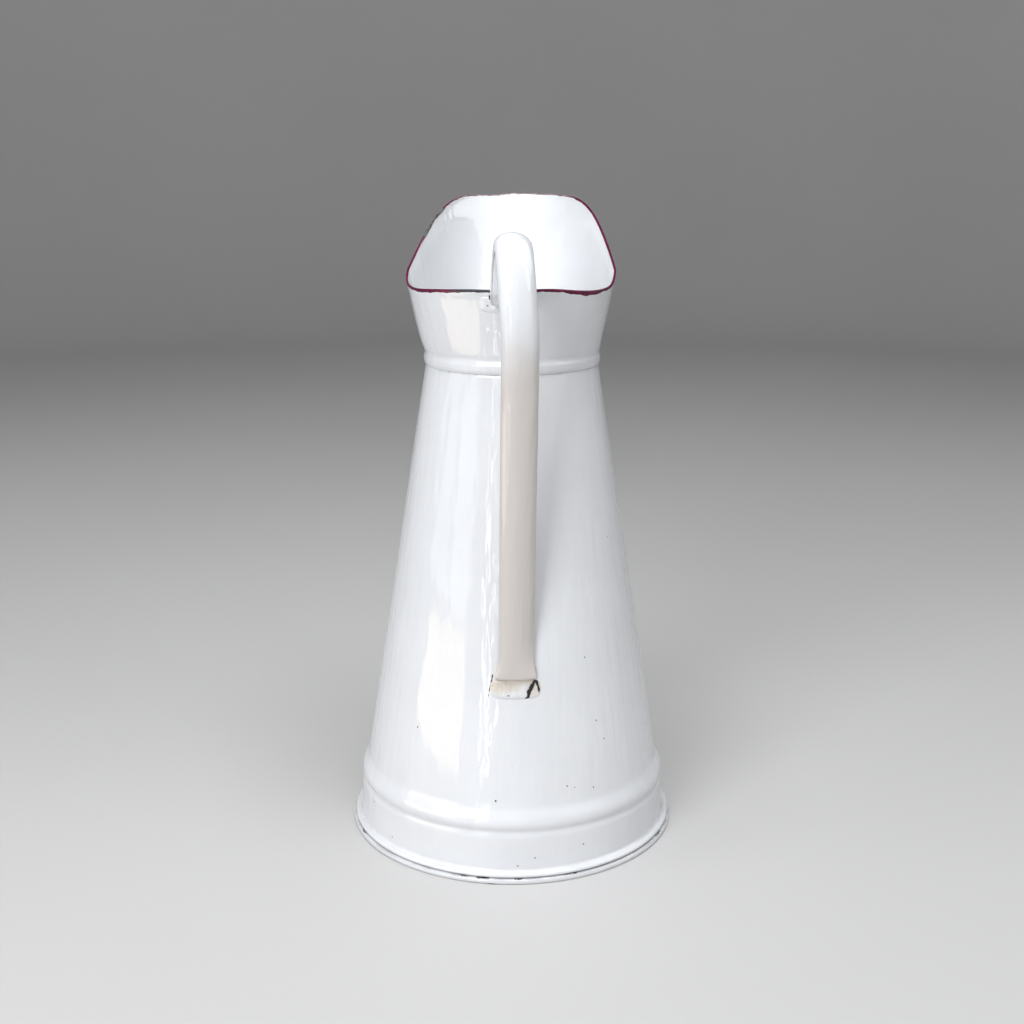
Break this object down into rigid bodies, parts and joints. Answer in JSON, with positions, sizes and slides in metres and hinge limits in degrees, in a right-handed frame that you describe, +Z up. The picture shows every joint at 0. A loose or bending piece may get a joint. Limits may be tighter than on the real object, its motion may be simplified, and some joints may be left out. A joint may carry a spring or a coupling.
{
  "type": "water pitcher",
  "caption": "Tall conical enamelled steel water pitcher with a flared pouring collar, swage beads, a rolled foot and a long loop handle at the back.",
  "frame": {"origin": "on the body's axis, in the plane that the foot stands on", "axes": "+Z up along the body's axis, +Y towards the spout, -Y towards the handle, +X to the right when looking from the handle to the spout"},
  "size_m": [0.2006, 0.2087, 0.3801],
  "materials": {
    "body_enamel": "glossy white vitreous enamel on sheet steel, with a few chips",
    "base_enamel": "glossy white vitreous enamel, worn to dark ground coat along the standing edge",
    "collar_enamel": "glossy white vitreous enamel inside and out",
    "handle_enamel": "glossy white vitreous enamel, chipped to dark ground coat at the joints",
    "lip_enamel": "dark plum edging enamel, worn in places"
  },
  "bodies": {
    "root": {"body_cone": "body_enamel", "base_pan": "base_enamel", "neck_collar": "collar_enamel", "handle_shell": "handle_enamel", "handle_liner": "handle_enamel", "upper_handle_plate": "handle_enamel", "lower_handle_plate": "handle_enamel"}
  },
  "joints": []
}
